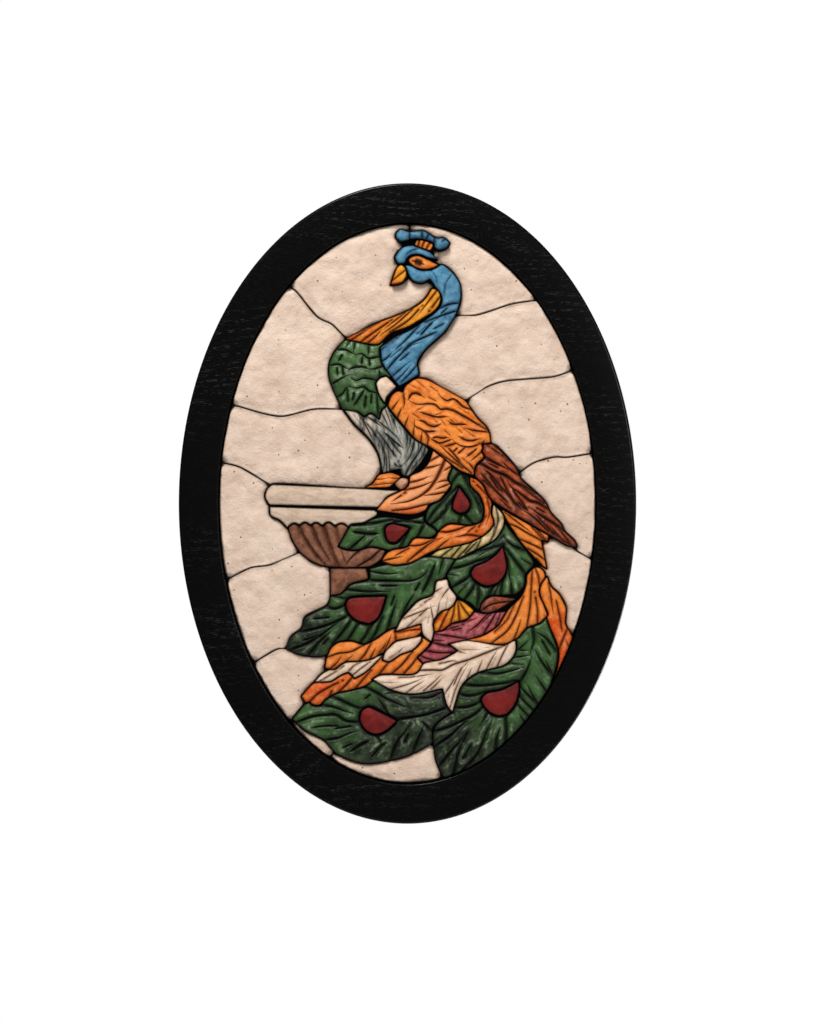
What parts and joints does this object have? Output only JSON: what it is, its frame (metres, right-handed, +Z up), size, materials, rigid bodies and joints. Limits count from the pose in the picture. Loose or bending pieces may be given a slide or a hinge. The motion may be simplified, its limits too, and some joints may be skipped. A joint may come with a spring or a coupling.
{
  "type": "mosaic panel",
  "caption": "Oval wall panel: carved coloured stones set as a peacock on a fountain bowl, in a flat black wooden frame",
  "frame": {"origin": "centre of the flat back, in the plane that lies against the wall", "axes": "+X to the viewer's right, +Z up the long axis of the oval, -Y out of the wall towards the viewer"},
  "size_m": [0.5, 0.028, 0.7],
  "materials": {
    "frame": "black stained open-pored wood, satin",
    "board": "matt black stained board",
    "slab_stone": "hand-worked pinkish cream stone, matt, small pits",
    "rim_stone": "smooth cream stone with grey veins, matt",
    "shell_stone": "carved brown stone, matt",
    "blue_stone": "stained blue stone, satin",
    "green_stone": "stained mottled green stone, polished on the high places",
    "grey_stone": "grey-blue stone with rubbed black stain, satin",
    "orange_stone": "stained orange stone with dark seams, satin",
    "amber_stone": "stained amber stone with dark seams, satin",
    "brown_stone": "stained dark brown stone, satin",
    "red_stone": "stained dark red stone, satin",
    "cream_stone": "carved cream stone with brown stained strokes, matt",
    "olive_stone": "stained yellow-green stone with dark strokes, satin",
    "magenta_stone": "stained magenta stone with dark strokes, satin"
  },
  "bodies": {
    "root": {"frame": "frame", "backing_board": "board", "crest": "blue_stone", "crest_stem": "orange_stone", "crown": "blue_stone", "eye": "orange_stone", "beak": "amber_stone", "throat_stripe": "amber_stone", "neck": "blue_stone", "shoulder_chip": "cream_stone", "breast": "green_stone", "wing": "orange_stone", "thigh": "orange_stone", "claw": "orange_stone", "knuckle": "brown_stone", "belly": "grey_stone", "primaries": "brown_stone", "drop_top": "red_stone", "drop_left_small": "red_stone", "drop_left_big": "red_stone", "drop_centre": "red_stone", "drop_bottom_left": "red_stone", "drop_bottom_right": "red_stone", "orange_ribbon": "orange_stone", "green_eye_top": "green_stone", "green_left_small": "green_stone", "feather_stripe": "olive_stone", "orange_right_upper": "orange_stone", "brown_seed": "brown_stone", "green_centre": "green_stone", "orange_drape": "orange_stone", "orange_edge": "orange_stone", "yellow_leaf": "amber_stone", "cream_upper": "cream_stone", "cream_mid": "cream_stone", "orange_left_upper": "orange_stone", "cream_quills": "cream_stone", "cream_lower": "cream_stone", "magenta_feather": "magenta_stone", "orange_left_lower": "orange_stone", "green_left_big": "green_stone", "green_bottom_right": "green_stone", "green_bottom_left": "green_stone", "rim_upper": "rim_stone", "bowl_shell": "shell_stone", "rim_lower": "rim_stone", "pedestal": "shell_stone", "slab_top_left": "slab_stone", "slab_left_upper": "slab_stone", "slab_left_middle": "slab_stone", "slab_left_lower": "slab_stone", "slab_left_base": "slab_stone", "slab_bottom_left": "slab_stone", "slab_bottom_sliver": "slab_stone", "slab_bottom": "slab_stone", "slab_top_right": "slab_stone", "slab_right_upper": "slab_stone", "slab_right_middle": "slab_stone", "slab_right_lower": "slab_stone", "slab_right_base": "slab_stone"}
  },
  "joints": []
}
